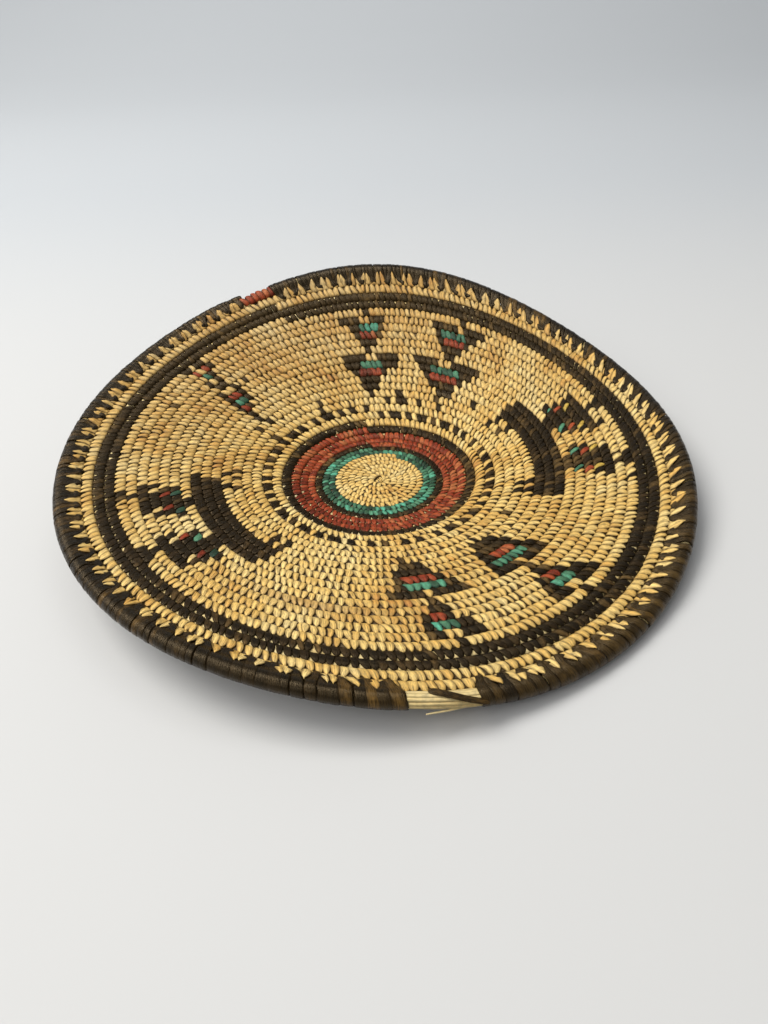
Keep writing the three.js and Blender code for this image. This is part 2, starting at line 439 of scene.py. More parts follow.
def coil_bundle(name, start, end, nodes, place=on_coil, half=BUNDLE_HALF, inset=0.0, stain=0.0):
    """The bundle of stems that the stitches wrap, as one lumpy closed sweep."""
    steps = max(int((end - start) * BUNDLE_STEPS_PER_TURN), 4)
    turns = np.linspace(start, end, steps + 1)
    pitch = (coil_pitch(turns) if place is on_coil else rim_fullness(turns))[:, None]
    angle = np.arange(BUNDLE_SIDES) * 2 * math.pi / BUNDLE_SIDES
    ripples = np.sin(angle * 5 + turns[:, None] * 31) * np.sin(turns[:, None] * 53 + angle * 2)
    lumps = 1 + BUNDLE_LUMPS * ripples
    corner = 1.0 if place is on_rim else BUNDLE_SQUARENESS
    across = (half[0] * pitch - inset) * np.sign(np.cos(angle)) * np.abs(np.cos(angle)) ** corner * lumps
    up = (half[1] * pitch - inset) * np.sign(np.sin(angle)) * np.abs(np.sin(angle)) ** corner * lumps
    points = place(turns[:, None], across, up)
    middle = edge_radius(turns)[:, None] + BUNDLE_MIDDLE
    along = turns[:, None] * 2 * math.pi * middle
    splint = stack_like(across, angle * BUNDLE_RADIUS, along, 0.5)
    # Where a stain is set here it is painted shade: a dark bundle showing in the gaps between stitches.
    stain_and_shade = stack_like(across, stain, 0.0, 0.0)
    quads = grid_quads(1, steps + 1, BUNDLE_SIDES, False, True)
    caps = ring_caps(steps + 1, BUNDLE_SIDES)
    return build_mesh(name, points, quads[:, ::-1], caps, splint, stain_and_shade, BARE, "bare_stems", nodes)


# ---- materials


def feed(tree, value, socket):
    """Give a socket a constant number or colour, or the link of another socket."""
    if isinstance(value, (int, float)):
        socket.default_value = value
    elif isinstance(value, tuple):
        socket.default_value = (*value, 1)
    else:
        tree.links.new(value, socket)


def math_node(tree, operation, first, second):
    node = tree.nodes.new("ShaderNodeMath")
    node.operation = operation
    feed(tree, first, node.inputs[0])
    feed(tree, second, node.inputs[1])
    return node.outputs[0]


def mix(tree, blend, factor, first, second):
    """Two colours mixed or multiplied."""
    node = tree.nodes.new("ShaderNodeMix")
    node.data_type = "RGBA"
    node.blend_type = blend
    feed(tree, factor, node.inputs["Factor"])
    feed(tree, first, node.inputs[6])
    feed(tree, second, node.inputs[7])
    return node.outputs[2]


def ramp(tree, value, stops):
    """A colour ramp over a value, from (position, colour) stops."""
    node = tree.nodes.new("ShaderNodeValToRGB")
    elements = node.color_ramp.elements
    elements[0].position = stops[0][0]
    elements[0].color = (*stops[0][1], 1)
    elements[1].position = stops[-1][0]
    elements[1].color = (*stops[-1][1], 1)
    for position, color in stops[1:-1]:
        elements.new(position).color = (*color, 1)
    tree.links.new(value, node.inputs[0])
    return node.outputs[0]


def noise(tree, vector, scale, detail, roughness=0.5):
    node = tree.nodes.new("ShaderNodeTexNoise")
    node.inputs["Scale"].default_value = scale
    node.inputs["Detail"].default_value = detail
    node.inputs["Roughness"].default_value = roughness
    tree.links.new(vector, node.inputs["Vector"])
    return node.outputs[0]


def attribute_parts(tree, name):
    """The three numbers of a vector attribute of the mesh."""
    attribute = tree.nodes.new("ShaderNodeAttribute")
    attribute.attribute_name = name
    parts = tree.nodes.new("ShaderNodeSeparateXYZ")
    tree.links.new(attribute.outputs["Vector"], parts.inputs[0])
    return parts.outputs[0], parts.outputs[1], parts.outputs[2]


def srgb(red, green, blue):
    """Linear colour from the usual 0 to 1 screen values."""
    def linear(v):
        return v / 12.92 if v <= 0.04045 else ((v + 0.055) / 1.055) ** 2.4
    return linear(red), linear(green), linear(blue)


# Noise: cycles per mm across and along a splint, how far apart two splints' fibres are, and
# cycles per metre of the tray for its blotches and small flecks.
FIBRES_ACROSS = 3.2
FIBRES_ALONG = 0.22
FIBRES_APART = 91.0
BLOTCH_SCALE = 26.0
FLECK_SCALE = 420.0

# How much blotches and flecks move a splint along its palette, what flecks darken, and how much the painted
# shade of edges and crevices darkens, with its tone.
BLOTCH_SHARE = 1.3
FLECK_SHARE = 0.4
PALETTE_OFFSET = 0.4
FLECK_DARKENS = 0.25
CREVICE_PAINTED_SHADE = 0.95
PAINTED_SHADE_TONE = 0.09
BUMP_STRENGTH = 0.8
BUMP_DISTANCE = 0.0004
NEUTRAL = (1.0, 1.0, 1.0)


def grey(value):
    return value, value, value


def lengthwise_fibres(tree, across, along, own):
    """Noise that is fine across the splint and long along it, and different on each splint."""
    vector = tree.nodes.new("ShaderNodeCombineXYZ")
    scaled = ((across, FIBRES_ACROSS), (along, FIBRES_ALONG), (own, FIBRES_APART))
    for socket, (value, scale) in zip(vector.inputs, scaled):
        tree.links.new(math_node(tree, "MULTIPLY", value, scale), socket)
    return noise(tree, vector.outputs[0], 1.0, 3.0, 0.6)


def splint_material(name, palette, stain_and_shade_color, roughness, streak=0.5, specular=0.3, chance=0.38, edge=1.9,
                    shine=NEUTRAL):
    """Dyed or natural splint: a colour for each splint, lengthwise fibres, soft stains, and painted shade
    along its edges (edge sets how narrow) and in crevices.
    """
    material = bpy.data.materials.new(name)
    material.use_nodes = True
    tree = material.node_tree
    shader = tree.nodes["Principled BSDF"]
    across, along, own = attribute_parts(tree, "splint")
    stain, side, depth = attribute_parts(tree, "stain_and_shade")
    fibres = lengthwise_fibres(tree, across, along, own)
    place = tree.nodes.new("ShaderNodeTexCoord").outputs["Object"]
    blotch = noise(tree, place, BLOTCH_SCALE, 2.0)
    fleck = noise(tree, place, FLECK_SCALE, 3.0)

    pick = math_node(tree, "MULTIPLY", own, chance)
    pick = math_node(tree, "ADD", pick, math_node(tree, "MULTIPLY", blotch, BLOTCH_SHARE))
    pick = math_node(tree, "SUBTRACT", pick, PALETTE_OFFSET + chance / 2)
    pick = math_node(tree, "ADD", pick, math_node(tree, "MULTIPLY", fleck, FLECK_SHARE))
    color = mix(tree, "MIX", stain, ramp(tree, pick, palette), stain_and_shade_color)
    streaks = ramp(tree, fibres, [(0.34, grey(1 - streak)), (0.50, NEUTRAL), (0.70, grey(1 + streak * 0.4))])
    color = mix(tree, "MULTIPLY", 1.0, color, streaks)
    flecks = ramp(tree, fleck, [(0.35, grey(1 - FLECK_DARKENS)), (0.6, NEUTRAL)])
    color = mix(tree, "MULTIPLY", 1.0, color, flecks)
    # Painted shade: darker along each splint's edges and in its crevices.
    painted_shade = math_node(tree, "MAXIMUM", math_node(tree, "POWER", side, edge), depth)
    painted_shade = math_node(tree, "MULTIPLY", painted_shade, CREVICE_PAINTED_SHADE)
    color = mix(tree, "MIX", painted_shade, color, tuple(PAINTED_SHADE_TONE * c for c in palette[-1][1]))
    tree.links.new(color, shader.inputs["Base Color"])

    rough = ramp(tree, fibres, [(0.3, grey(roughness - 0.1)), (0.7, grey(roughness + 0.14))])
    tree.links.new(rough, shader.inputs["Roughness"])
    shader.inputs["Specular IOR Level"].default_value = specular
    shader.inputs["Specular Tint"].default_value = (*shine, 1)
    bump = tree.nodes.new("ShaderNodeBump")
    bump.inputs["Strength"].default_value = BUMP_STRENGTH
    bump.inputs["Distance"].default_value = BUMP_DISTANCE
    tree.links.new(fibres, bump.inputs["Height"])
    tree.links.new(bump.outputs[0], shader.inputs["Normal"])
    return material


STRAW_PALETTE = [
    (0.0, srgb(0.99, 0.88, 0.60)),
    (0.35, srgb(0.98, 0.83, 0.50)),
    (0.62, srgb(0.93, 0.75, 0.40)),
    (0.85, srgb(0.85, 0.64, 0.31)),
    (1.0, srgb(0.74, 0.50, 0.24)),
]
DARK_PALETTE = [
    (0.0, srgb(0.035, 0.024, 0.014)),
    (0.35, srgb(0.07, 0.048, 0.027)),
    (0.65, srgb(0.155, 0.11, 0.06)),
    (1.0, srgb(0.44, 0.34, 0.19)),
]
RED_PALETTE = [
    (0.0, srgb(0.40, 0.12, 0.07)),
    (0.4, srgb(0.60, 0.22, 0.12)),
    (0.7, srgb(0.69, 0.31, 0.17)),
    (1.0, srgb(0.76, 0.46, 0.27)),
]
TEAL_PALETTE = [
    (0.0, srgb(0.12, 0.21, 0.13)),
    (0.35, srgb(0.23, 0.40, 0.28)),
    (0.65, srgb(0.35, 0.57, 0.42)),
    (1.0, srgb(0.36, 0.70, 0.56)),
]
YELLOW_PALETTE = [
    (0.0, srgb(0.74, 0.58, 0.20)),
    (0.5, srgb(0.84, 0.70, 0.30)),
    (1.0, srgb(0.90, 0.80, 0.45)),
]
RIM_PALETTE = [
    (0.0, srgb(0.035, 0.024, 0.012)),
    (0.4, srgb(0.07, 0.05, 0.024)),
    (0.7, srgb(0.14, 0.10, 0.045)),
    (1.0, srgb(0.38, 0.28, 0.125)),
]
BARE_PALETTE = [
    (0.0, srgb(0.97, 0.90, 0.70)),
    (0.5, srgb(0.93, 0.82, 0.56)),
    (1.0, srgb(0.80, 0.65, 0.38)),
]

WARM_SHINE = (1.0, 0.74, 0.42)
RED_SHINE = (1.0, 0.78, 0.55)

STRAW = splint_material("straw_splint", STRAW_PALETTE, srgb(0.55, 0.34, 0.22), 0.5, streak=0.6)
DARK = splint_material(
    "black_splint", DARK_PALETTE, srgb(0.36, 0.28, 0.15), 0.36,
    streak=0.8, specular=0.24, chance=0.8, edge=1.3, shine=WARM_SHINE,
)
RED = splint_material(
    "red_splint", RED_PALETTE, srgb(0.42, 0.20, 0.14), 0.4, streak=0.65, chance=0.8, shine=RED_SHINE
)
TEAL = splint_material("teal_splint", TEAL_PALETTE, srgb(0.10, 0.20, 0.15), 0.5, chance=0.9)
YELLOW = splint_material("yellow_splint", YELLOW_PALETTE, srgb(0.6, 0.4, 0.2), 0.5)
RIM_DARK = splint_material(
    "rim_splint", RIM_PALETTE, srgb(0.40, 0.31, 0.16), 0.25,
    streak=0.8, specular=0.36, chance=0.8, edge=1.8, shine=WARM_SHINE,
)
# The bare stems' stain colour is the dark brown of painted shade, used where the bundle shows in gaps between
# natural stitches.
BARE = splint_material("bare_stems", BARE_PALETTE, srgb(0.24, 0.145, 0.07), 0.55, streak=0.25)

# The material and the slot of each colour of splint.
SEWN_WITH = {
    "straw": (STRAW, "straw_coil"),
    "dark": (DARK, "dark_coil"),
    "brown": (RIM_DARK, "dark_coil"),
    "red": (RED, "red_coil"),
    "teal": (TEAL, "teal_coil"),
    "yellow": (YELLOW, "straw_coil"),
}


# ---- the pattern


# Degrees either side of a place that holds a single stitch.
ONE_STITCH = 0.1


def column(rows, moved=0.0):
    """One narrow motif, as (row, from, to, colour) in clockwise degrees."""
    return [(row, start + moved, end + moved, color) for row, *runs in rows for start, end, color in runs]


BACK_RIGHT_COLUMN = column([
    (28, (25, 26.5, "dark")),
    (27, (18.4, 24.8, "dark"), (27.5, 33.5, "dark")),
    (26, (19.4, 21.2, "dark"), (21.2, 29.2, "teal"), (29.2, 32.4, "dark")),
    (25, (20.5, 22.3, "dark"), (22.3, 28.8, "red"), (28.8, 31, "dark")),
    (24, (22.3, 28.8, "dark")),
    (23, (24.5, 27.4, "dark")),
    (22, (13.7, 23.8, "dark"), (27.6, 38.5, "dark")),
    (21, (17, 21, "dark"), (21, 32.4, "teal"), (32.4, 37.4, "dark")),
    (20, (19.8, 21.5, "dark"), (21.5, 32.4, "red"), (32.4, 34.6, "dark")),
    (19, (22, 33.8, "dark")),
    (18, (26.6, 34.6, "brown")),
    (17, (28.4, 31.3, "dark")),
])
BACK_COLUMN = column([
    (27, (357, 358, "dark")),
    (26, (348.8, 354.9, "dark"), (358.5, 363.2, "dark")),
    (25, (352.2, 354.5, "dark"), (354.5, 360.7, "teal"), (360.7, 362.9, "dark")),
    (24, (352.8, 355.2, "dark"), (355.2, 359.6, "red"), (359.6, 361.4, "dark")),
    (23, (355.2, 359.5, "dark")),
    (22, (356.9, 358.6, "dark")),
    (21, (347.7, 356.6, "dark"), (359.3, 367.9, "dark")),
    (20, (349.1, 354.2, "dark"), (354.2, 361.4, "teal"), (361.4, 367.2, "dark")),
    (19, (350.8, 352.8, "dark"), (352.8, 361.4, "red"), (361.4, 364.3, "dark")),
    (18, (352.5, 361.4, "dark")),
    (17, (354.2, 360, "dark")),
    (16, (356.9, 359, "dark")),
])
FRONT_RIGHT_COLUMN = column([
    (28, (137.5, 138.5, "dark")),
    (27, (131.1, 136.9, "dark"), (139.6, 145.1, "dark")),
    (26, (132.8, 136.6, "dark"), (136.6, 142, "teal"), (142, 144.7, "dark")),
    (25, (135.2, 137.2, "dark"), (137.2, 142, "red"), (142, 143.7, "dark")),
    (24, (137.6, 143, "dark")),
    (23, (140, 141.7, "dark")),
    (22, (131.5, 140.3, "dark"), (142, 150.5, "dark")),
    (21, (133.2, 137.6, "dark"), (137.6, 147.4, "teal"), (147.4, 150.2, "dark")),
    (20, (135.2, 137.2, "dark"), (137.2, 147.1, "red"), (147.1, 149.5, "dark")),
    (19, (137.2, 149.5, "dark")),
    (18, (139.6, 148.8, "dark")),
    (17, (143.7, 146.4, "dark")),
])
FRONT_COLUMN = column([
    (28, (167.8, 168.9, "dark")),
    (27, (162, 167.2, "dark"), (170.2, 174.3, "dark")),
    (26, (164.4, 166.8, "dark"), (166.8, 171.9, "teal"), (171.9, 173.6, "dark")),
    (25, (166.8, 168.5, "dark"), (168.5, 172.3, "red"), (172.3, 173.6, "dark")),
    (24, (167.8, 172.3, "dark")),
    (23, (169.2, 171.6, "dark")),
    (22, (160.4, 169.2, "dark"), (171.6, 179.7, "dark")),
    (21, (162.4, 165.8, "dark"), (165.8, 175.7, "teal"), (175.7, 179.1, "dark")),
    (20, (164.4, 166.8, "dark"), (166.8, 176.3, "red"), (176.3, 178.7, "dark")),
    (19, (167.2, 178, "dark")),
    (18, (170.2, 177, "dark")),
    (17, (173.6, 175.3, "dark")),
], moved=-1.2)
THIN_COLUMN = column([
    (28, (301.5, 303.5, "dark"), (305.6, 307.6, "dark")),
    (27, (302.2, 303.9, "red"), (305.6, 307.3, "red")),
    (26, (303.5, 305.9, "teal"), (306, 307.2, "dark")),
    (25, (302.2, 303.5, "dark"), (305.9, 307.3, "dark")),
    (24, (303.9, 306.3, "brown")),
    (23, (301.8, 303.5, "dark"), (306.3, 308.3, "dark")),
    (22, (301.5, 303.5, "dark"), (303.5, 305.9, "red"), (305.9, 308, "dark")),
    (21, (301.2, 303.2, "dark"), (303.2, 305.9, "teal"), (305.9, 308, "dark")),
    (20, (300.8, 302.9, "dark"), (302.9, 304.9, "red"), (304.9, 306.9, "dark")),
    (19, (302.2, 304.6, "dark")),
    (18, (301.5, 304.6, "brown")),
    (17, (304.6, 305.6, "dark")),
])


def animal(necks, thin_necks, panels, spots, body, legs):
    """A four-legged figure. Its two heads are panels of spotted stitches."""
    runs = [(28, start, end, "dark") for start, end in necks]
    runs += [(27, middle - 0.6, middle + 0.6, "dark") for middle in thin_necks]
    for row, spans in panels.items():
        runs += [(row, start, end, "dark") for start, end in spans]
    for row, (color, middles) in spots.items():
        runs += [(row, middle - ONE_STITCH, middle + ONE_STITCH, color) for middle in middles]
    runs += [(row, start, end, "dark") for row, start, end in body]
    runs += [(row, middle - 0.5, middle + 0.5, "dark") for row, middle in legs]
    return runs


RIGHT_ANIMAL = animal(
    necks=[(71.3, 74.9), (91.8, 95.8)],
    thin_necks=[72.7, 94],
    panels={
        26: [(67.3, 81.4), (87.8, 99.7)],
        25: [(67.5, 81), (87.6, 99.4)],
        24: [(67.2, 80.6), (87.2, 99)],
        23: [(67, 80.2), (87, 98.6)],
        22: [(72, 77.8), (90.7, 96.5)],
    },
    spots={
        25: ("yellow", [69.8, 78.1, 89.6, 96.8]),
        24: ("red", [69.6, 77.8, 89.3, 96.5]),
        23: ("teal", [69.3, 77.4, 89, 96.2]),
    },
    body=[(21, 58, 110.7), (20, 58, 110.7), (19, 58, 110.7)],
    legs=[(18, 61), (18, 67.6), (17, 60.6), (17, 67), (18, 104.4), (18, 109.4), (17, 104), (17, 108.8)],
)
LEFT_ANIMAL = animal(
    necks=[(231.9, 235.6), (251.6, 255.7)],
    thin_necks=[233.2, 253.3],
    panels={
        26: [(225.8, 238), (246.5, 257.7)],
        25: [(225.5, 238), (245.5, 257.7)],
        24: [(224.7, 237.3), (244.8, 256.7)],
        23: [(224.4, 236.6), (244.5, 256.4)],
        22: [(227.8, 233.2), (246.8, 251.9)],
    },
    spots={
        25: ("straw", [228.1, 235.6, 248.2, 255]),
        24: ("red", [227.9, 235.1, 247.7, 253.5]),
        23: ("teal", [227.1, 234.1, 246.7, 253.8]),
    },
    body=[(21, 215.9, 263.8), (20, 214.9, 262.5), (19, 214.9, 262.5)],
    legs=[
        (18, 215.8), (18, 220.4), (17, 215.4), (17, 220.2),
        (18, 257.9), (18, 263.8), (17, 257.5), (17, 263.4),
    ],
)
STRAY_STITCHES = [
    (16, 5), (16, 11.2), (17, 11.6), (16, 15), (16, 20.9), (16, 33.5),
    (18, 46), (27, 79.6), (28, 100.4), (17, 124.7), (26, 290), (17, 297),
    (15, 299), (27, 308.6), (23, 313), (15, 331.2), (16, 331.8), (17, 266.9),
]
MOTIFS = (
    BACK_RIGHT_COLUMN
    + BACK_COLUMN
    + FRONT_RIGHT_COLUMN
    + FRONT_COLUMN
    + THIN_COLUMN
    + RIGHT_ANIMAL
    + LEFT_ANIMAL
    + [(row, middle - ONE_STITCH, middle + ONE_STITCH, "dark") for row, middle in STRAY_STITCHES]
)


def stitch_colors(turns):
    """The colour name of every stitch."""
    colors = np.full(len(turns), "straw", dtype="U8")
    bands = [
        (TURN_TEAL, "teal"), (TURN_INNER_BLACK, "dark"), (TURN_RED, "red"), (TURN_OUTER_BLACK, "dark"),
        (TURN_INNER_STRAW, "straw"), (TURN_DARK, "dark"), (TURN_OUTER_STRAW, "straw"),
    ]
    for start, color in bands:
        colors[turns >= start] = color
    dashed = (turns >= TURN_DASHED) & (turns < TURN_FIELD) & ((turns * DASHES_PER_TURN) % 1 < DASH_SHARE)
    colors[dashed] = "dark"
    for row, start, end, color in MOTIFS:
        first, last = row + start / 360, row + end / 360
        chosen = np.flatnonzero((turns >= first) & (turns < last))
        if len(chosen) == 0:
            chosen = [int(np.argmin(np.abs(turns - (first + last) / 2)))]
        colors[chosen] = color
    return colors


# A stained streak along one row in front, and a broad tan stain over the back left of the tray, made stronger
# there as painted shade on the back wall.
STREAK_TURN = 24.9
STREAK_TURN_REACH = 0.55
STREAK_SIDE = 196.0
STREAK_SIDE_REACH = 17.0
STREAK_SHARE = 0.55
STAIN_AND_SHADE_SIDE = -25.0
STAIN_AND_SHADE_SHARE = 0.32
STAIN_TURNS = 12


def stain_of(turns):
    """How much stain each stitch has, from 0 to 1, painted shade over the back left included."""
    clockwise = (turns % 1) * 360
    across_streak = np.exp(-(((turns - STREAK_TURN) / STREAK_TURN_REACH) ** 2))
    along_streak = np.exp(-(((clockwise - STREAK_SIDE) / STREAK_SIDE_REACH) ** 2))
    back_left = 0.5 + 0.5 * np.cos(np.radians(clockwise - STAIN_AND_SHADE_SIDE))
    outward = np.clip((turns - TURN_INNER_STRAW) / STAIN_TURNS, 0, 1)
    stain = STREAK_SHARE * across_streak * along_streak + STAIN_AND_SHADE_SHARE * back_left**2 * outward
    return np.clip(stain, 0, 1)


# ---- the tray


def nodes_between(start, end):
    """CAD coil nodes whose turns lie between two turn numbers, such as 16 and 29."""
    names = [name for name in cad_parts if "_turn_" in name]
    return [name for name in names if start <= int(name.split("_")[-1]) <= end]


turns, pulls = lay_stitches()
colors = stitch_colors(turns)
stains = stain_of(turns)
steps_between = np.diff(turns)
gaps = (np.append(steps_between, steps_between[-1]) + np.append(steps_between[0], steps_between)) / 2


def sew(name, start, end, color, node_from, node_to):
    """The stitches of one colour between two turn coordinates."""
    chosen = (turns >= start) & (turns < end) & (colors == color)
    nodes = nodes_between(node_from, node_to)
    if node_from == 1:
        nodes.append("centre_knot")
    if chosen.any():
        laid = (turns[chosen], gaps[chosen], pulls[chosen], stains[chosen])
        stitch_loops(name, *laid, SEWN_WITH[color], nodes)


def rim_groups(start, end):
    """Middles of the groups of splints along one stretch of the rim, as turn coordinates."""
    count = round((end - start) * RIM_GROUPS_PER_TURN)
    size = (end - start) / count
    return start + (np.arange(count) + 0.5 + RANDOM.normal(0, 0.05, count)) * size


groups_right = rim_groups(TURN_RIM, TURN_BARE_FROM)
groups_left = rim_groups(TURN_BARE_TO, TURN_RIM_END)


def sew_toothed_coil():
    """The last natural row. Some of its stitches reach out between the groups of the rim."""
    chosen = (turns >= TURN_TOOTHED) & (turns < TURN_STUB)
    at = turns[chosen]
    between = np.concatenate([(g[1:] + g[:-1]) / 2 for g in (groups_right, groups_left)]) - 1
    nearest = between[np.argmin(np.abs(at[:, None] - between), 1)]
    reaching = np.abs(nearest - at) * RIM_GROUPS_PER_TURN < TOOTH_SHARE / 2
    full = rim_fullness(at + 1)[:, None]
    teeth = np.broadcast_to(TOOTH_PATH, (len(at), *TOOTH_PATH.shape)).copy()
    outer = TOOTH_PATH[:, 0] > 0.5
    teeth[:, outer, 0] = 0.5 + (TOOTH_PATH[outer, 0] - 0.5) * full
    teeth[:, outer, 1] = RIM_MIDDLE_UP + (TOOTH_PATH[outer, 1] - RIM_MIDDLE_UP) * full
    teeth[:, :, 0] *= 1 + RANDOM.normal(0, 0.05, (len(at), 1)) * (TOOTH_PATH[:, 0] > 0.3)
    paths = np.where(reaching[:, None, None], teeth, STITCH_PATH)
    stitch_loops(
        "toothed_stitches", at, gaps[chosen], pulls[chosen], stains[chosen], SEWN_WITH["straw"],
        nodes_between(33, 33), paths, np.where(reaching, TOOTH_GATHER * (nearest - at), 0.0),
    )


sew("centre_stitches", 0, TURN_TEAL, "straw", 1, 7)
sew("teal_stitches", TURN_TEAL, TURN_INNER_BLACK, "teal", 7, 8)
sew("inner_black_stitches", TURN_INNER_BLACK, TURN_RED, "dark", 8, 9)
sew("red_stitches", TURN_RED, TURN_OUTER_BLACK, "red", 9, 12)
sew("outer_black_stitches", TURN_OUTER_BLACK, TURN_INNER_STRAW, "dark", 12, 13)
sew("inner_straw_stitches", TURN_INNER_STRAW, TURN_DASHED, "straw", 13, 14)
sew("dash_row_straw", TURN_DASHED, TURN_FIELD, "straw", 15, 15)
sew("dash_row_black", TURN_DASHED, TURN_FIELD, "dark", 15, 15)
for part, (start, end) in enumerate([(15, 20), (20, 24), (24, 27), (27, 29)]):
    sew(f"field_straw_{part + 1}", start, min(end, TURN_DARK), "straw", start + 1, end)
field_colors = {"black": "dark", "brown": "brown", "red": "red", "green": "teal", "yellow": "yellow"}
for name, color in field_colors.items():
    sew(f"field_{name}", TURN_FIELD, TURN_DARK, color, 16, 29)
sew("dark_band_stitches", TURN_DARK, TURN_OUTER_STRAW, "dark", 30, 31)
sew("outer_straw_stitches", TURN_OUTER_STRAW, TURN_TOOTHED, "straw", 32, 32)
sew_toothed_coil()


def centre_start():
    """The uneven splints sewn over the tray's first bundle, a short slanted slit."""
    count = START_SPLINTS
    angle = np.arange(START_STATIONS) * 2 * math.pi / START_STATIONS
    along = np.linspace(-START_LENGTH / 2, START_LENGTH / 2, count)[:, None]
    along = along + RANDOM.normal(0, 0.1, (count, 1))
    half = START_HALF * np.sqrt(1.15 - (2 * along / START_LENGTH) ** 2)
    half = half * (1 + RANDOM.normal(0, 0.12, (count, 1)))
    across = half * np.cos(angle)
    up = START_UP + START_RISE * np.sign(np.sin(angle)) * np.abs(np.sin(angle)) ** 0.6
    lean = RANDOM.normal(0.25, 0.14, (count, 1))
    normal_a, normal_u, length = loop_frames(across, up)
    rise = START_THICKNESS * SECTION_RISE
    a = across[..., None] + normal_a[..., None] * rise
    u = up[..., None] + normal_u[..., None] * rise
    over_top = np.abs(np.sin(angle))
    broad = START_LENGTH / count * START_WIDTH_SHARE * (0.55 + 0.45 * over_top)[:, None]
    b = (along + across * lean)[..., None] + broad * SECTION_SIDE
    turn_to = math.radians(START_DIRECTION)
    x = b * math.cos(turn_to) - a * math.sin(turn_to)
    y = b * math.sin(turn_to) + a * math.cos(turn_to)
    chance = RANDOM.random(count)[:, None, None]
    splint = stack_like(a, broad * SECTION_SIDE, length[..., None], chance)
    # Painted shade where a splint runs down the sides of the slit, away from its top.
    stain_and_shade = stack_like(a, 0.0, np.abs(SECTION_SIDE), np.clip(1 - over_top * 2, 0, 1)[:, None])
    quads = grid_quads(count, START_STATIONS, len(SECTION_SIDE), True, True)
    points = np.stack([x, y, u], -1)
    sewn_with = SEWN_WITH["straw"]
    build_mesh("centre_start_stitches", points, quads, [], splint, stain_and_shade, *sewn_with, ["centre_knot"])


centre_start()
# Under natural stitches the bundle is painted dark brown as the shade in the gaps between them; under the
# rings and the dark band it is fuller and pale.
shaded_in_gaps = {"half": BUNDLE_HALF, "stain": STEM_GAP_SHADE}
full_and_pale = {"half": FULL_BUNDLE_HALF, "stain": 0.0}
for name, start, end, nodes, look in (
    ("centre_bundle", 0.0, TURN_INNER_BLACK, nodes_between(1, 8) + ["centre_knot"], shaded_in_gaps),
    ("rings_bundle", TURN_INNER_BLACK, TURN_INNER_STRAW, nodes_between(9, 13), full_and_pale),
    ("field_bundle", TURN_INNER_STRAW, TURN_DARK, nodes_between(14, 29), shaded_in_gaps),
    ("band_bundle", TURN_DARK, TURN_OUTER_STRAW, nodes_between(30, 31), full_and_pale),
    ("outer_bundle", TURN_OUTER_STRAW, TURN_STUB, nodes_between(32, 33), shaded_in_gaps),
    ("stub_bundle", TURN_STUB, TURN_RIM, ["red_wrapped_stub"], shaded_in_gaps),
):
    coil_bundle(name, start, end, nodes, **look)

# ---- the rim

# A rim splint's way from its anchor hole over the rim and back below, in mm from the
# middle of the rim's bundle: across, up, how far it has spread from the hole, width share.
RIM_PATH = np.array([
    (-10.6, -0.6, 0.14, 0.36),
    (-10.6, 0.6, 0.16, 0.46),
    (-10.1, 1.6, 0.21, 0.58),
    (-9.1, 2.35, 0.30, 0.70),
    (-7.8, 2.5, 0.40, 0.80),
    (-6.4, 2.45, 0.53, 0.88),
    (-5.0, 2.75, 0.70, 0.96),
    (-3.4, 3.4, 0.88, 1.00),
    (-1.7, 3.95, 1.00, 1.00),
    (0.2, 4.05, 1.00, 1.00),
    (2.2, 3.5, 1.00, 1.00),
    (3.8, 2.1, 1.00, 1.00),
    (4.4, 0.1, 1.00, 1.00),
    (3.9, -2.0, 1.00, 1.00),
    (2.3, -3.5, 1.00, 1.00),
    (0.0, -4.0, 1.00, 1.00),
    (-2.4, -3.9, 0.95, 1.00),
    (-4.8, -3.8, 0.80, 1.00),
    (-7.3, -4.0, 0.50, 0.95),
    (-10.0, -3.7, 0.20, 0.80),
    (-10.8, -2.4, 0.16, 0.50),
])
RIM_SPLINT_THICKNESS = 0.34
RIM_OVERLAP = 1.2
RIM_LEAN_SHARE = 0.8
RIM_LEAN_FROM = -5.0
RIM_BUNDLE_FROM = -4.4
RIM_ANCHOR_TO = -8.0

# In front two broad splints share a hole, and elsewhere three or, in a quarter of the groups, four.
FRONT_RIM = (108, 205)
FOUR_SPLINTS_CHANCE = 0.25

# Where the rim's splints are more olive, in clockwise degrees.
OLIVE_SIDE = 125.0
OLIVE_REACH = 40.0
OLIVE_SHARE = 0.6

RIM_BUNDLE_INSET = 1.1
STUB_SPLINTS = 7
STUB_OUT = 0.16
STUB_UP = 0.14
STUB_GROWTH = 1.06


def rim_splint_count(clockwise):
    """How many splints share an anchor hole."""
    if FRONT_RIM[0] < clockwise < FRONT_RIM[1]:
        return 2
    return 4 if RANDOM.random() < FOUR_SPLINTS_CHANCE else 3


